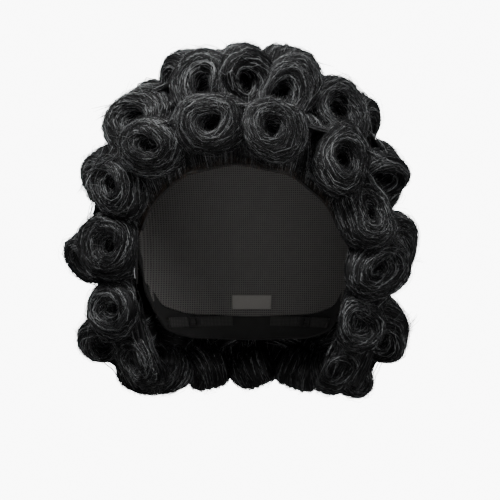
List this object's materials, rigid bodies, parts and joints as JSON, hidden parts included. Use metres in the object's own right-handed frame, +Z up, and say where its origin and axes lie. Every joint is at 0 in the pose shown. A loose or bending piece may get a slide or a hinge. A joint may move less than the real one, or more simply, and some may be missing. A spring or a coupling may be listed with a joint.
{
  "type": "short curly costume wig",
  "caption": "Short black wet-set wig: an open stretch cap with sewn wefts, flexing ear tabs, nape adjusters and rolled curls around the face, crown, sides and back.",
  "frame": {"origin": "inner apex of the crown, where the cap bears on the top of the head", "axes": "+Z up through the crown, the face opening looks along -Y, +X towards the wearer's left"},
  "size_m": [0.254, 0.2506, 0.2475],
  "materials": {
    "hair": "black synthetic fibre, soft sheen",
    "net": "fine stretch net",
    "lace": "thin brown hairline lace",
    "edge_tape": "woven satin tape",
    "weft": "triple-stitched weft track",
    "elastic": "ribbed woven elastic",
    "hook_plastic": "moulded black nylon",
    "stay_metal": "soft flat wire",
    "label": "blank woven satin"
  },
  "bodies": {
    "cap": {"back_hair": "hair", "back_panel": "net", "back_wefts": "weft", "brow_curl_left": "hair", "brow_curl_right": "hair", "centre_back_rib": "edge_tape", "cheek_curl_left": "hair", "cheek_curl_right": "hair", "crown_curls": "hair", "crown_hair": "hair", "crown_net": "net", "crown_seam_tape": "edge_tape", "crown_wefts": "weft", "ear_curl_left": "hair", "ear_curl_right": "hair", "front_edge_binding": "edge_tape", "front_hair": "hair", "front_hairline_band": "lace", "front_roll_left": "hair", "front_roll_right": "hair", "jaw_curl_left": "hair", "jaw_curl_right": "hair", "left_adjuster_strap": "elastic", "left_back_rib": "edge_tape", "left_ear_band": "edge_tape", "left_loop_tape": "elastic", "left_side_fall": "hair", "left_side_hair": "hair", "left_side_panel": "net", "left_side_rib": "edge_tape", "lower_back_curls": "hair", "middle_back_curls": "hair", "nape_band": "edge_tape", "nape_curls": "hair", "nape_edge_binding": "edge_tape", "nape_hair": "hair", "neckline_curls": "hair", "right_adjuster_strap": "elastic", "right_back_rib": "edge_tape", "right_ear_band": "edge_tape", "right_loop_tape": "elastic", "right_side_fall": "hair", "right_side_hair": "hair", "right_side_panel": "net", "right_side_rib": "edge_tape", "side_curls": "hair", "size_label": "label", "temple_roll_left": "hair", "temple_roll_right": "hair", "top_roll_left": "hair", "top_roll_right": "hair", "top_side_roll_left": "hair", "top_side_roll_right": "hair", "upper_back_curls": "hair"},
    "left_adjuster": {"left_adjuster_hook": "hook_plastic"},
    "right_adjuster": {"right_adjuster_hook": "hook_plastic"},
    "left_ear_tab_body": {"left_ear_tab": "edge_tape", "left_ear_stay": "stay_metal"},
    "right_ear_tab_body": {"right_ear_tab": "edge_tape", "right_ear_stay": "stay_metal"}
  },
  "joints": [
    {"name": "left_ear_tab_flex", "type": "hinge", "parent": "cap", "child": "left_ear_tab_body", "pos_m": [0.07619, -0.00801, -0.09734], "axis": [0.0637, 0.998, 0], "range_deg": [0, 25]},
    {"name": "right_ear_tab_flex", "type": "hinge", "parent": "cap", "child": "right_ear_tab_body", "pos_m": [-0.07619, -0.00801, -0.09734], "axis": [0.0637, -0.998, 0], "range_deg": [0, 25]},
    {"name": "left_adjuster_slide", "type": "hinge", "parent": "cap", "child": "left_adjuster", "pos_m": [-0.01245, 0.01458, -0.152], "axis": [0, 0, 1], "range_deg": [0, 16], "deforming": ["left_adjuster_strap"]},
    {"name": "right_adjuster_slide", "type": "hinge", "parent": "cap", "child": "right_adjuster", "pos_m": [0.01245, 0.01458, -0.152], "axis": [0, 0, -1], "range_deg": [0, 16], "deforming": ["right_adjuster_strap"]}
  ]
}
